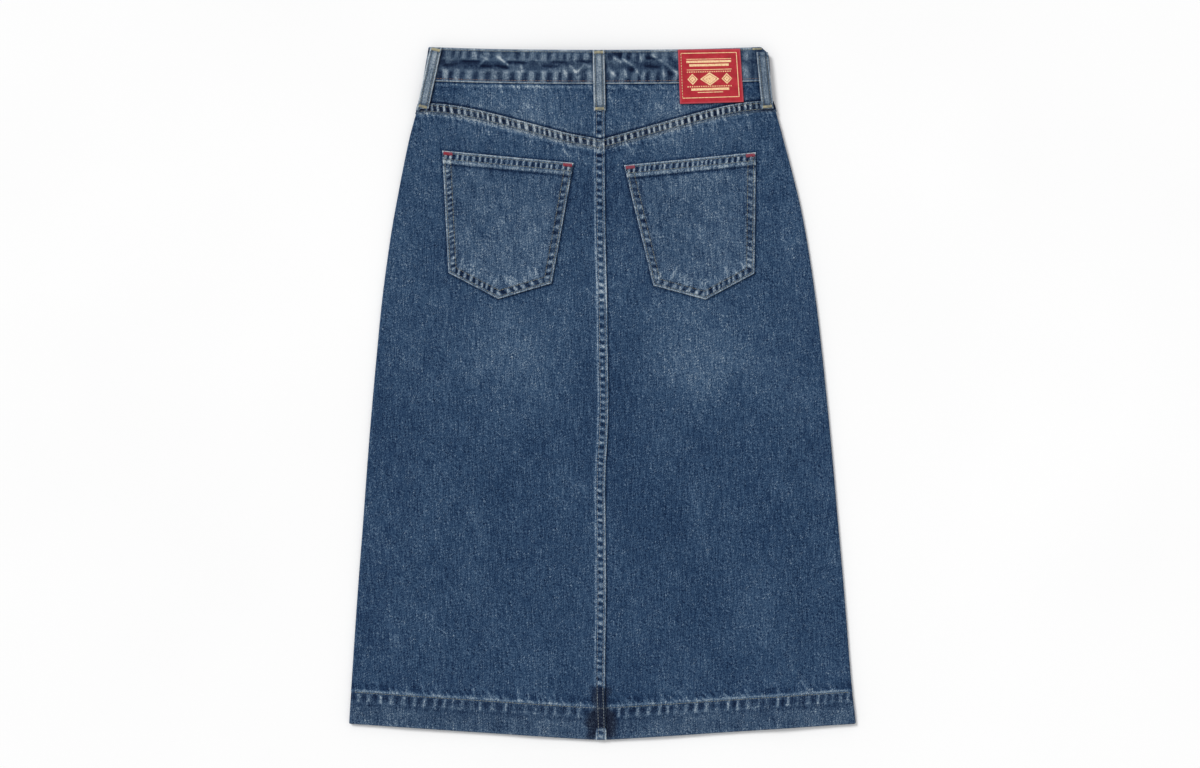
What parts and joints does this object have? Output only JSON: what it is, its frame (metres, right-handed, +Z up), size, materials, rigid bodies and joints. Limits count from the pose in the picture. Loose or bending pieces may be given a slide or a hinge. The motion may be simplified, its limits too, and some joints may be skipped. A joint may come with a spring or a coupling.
{
  "type": "denim skirt",
  "caption": "Midi-length denim skirt laid flat with its back upwards: felled centre seam, yoke, patch pockets, waistband with belt loops and a fly with zip and button underneath.",
  "frame": {"origin": "centre of the bounding box's bottom face, where the front of the skirt lies on the table", "axes": "+Y runs up the garment to the waist, +X to the right as the back is looked at, +Z up out of the table"},
  "size_m": [0.568, 0.776, 0.012],
  "materials": {
    "denim": "washed mid-blue denim twill, matt with a faint nap",
    "patch": "thin stiff red patch, satin",
    "brass": "dull antique brass",
    "thread": "tan topstitching thread",
    "thread_red": "red bartack thread",
    "thread_cream": "cream thread and print",
    "zip_tape": "navy woven zip tape"
  },
  "bodies": {
    "root": {"back_left": "denim", "back_right": "denim", "yoke_left": "denim", "yoke_right": "denim", "front_left": "denim", "front_right": "denim", "pocket_left": "denim", "pocket_right": "denim", "waistband_back": "denim", "waistband_front_left": "denim", "waistband_front_right": "denim", "loop_centre": "denim", "loop_side_left": "denim", "loop_side_right": "denim", "loop_front_left": "denim", "loop_front_right": "denim", "patch": "patch", "zip": "brass", "button": "brass"}
  },
  "joints": []
}
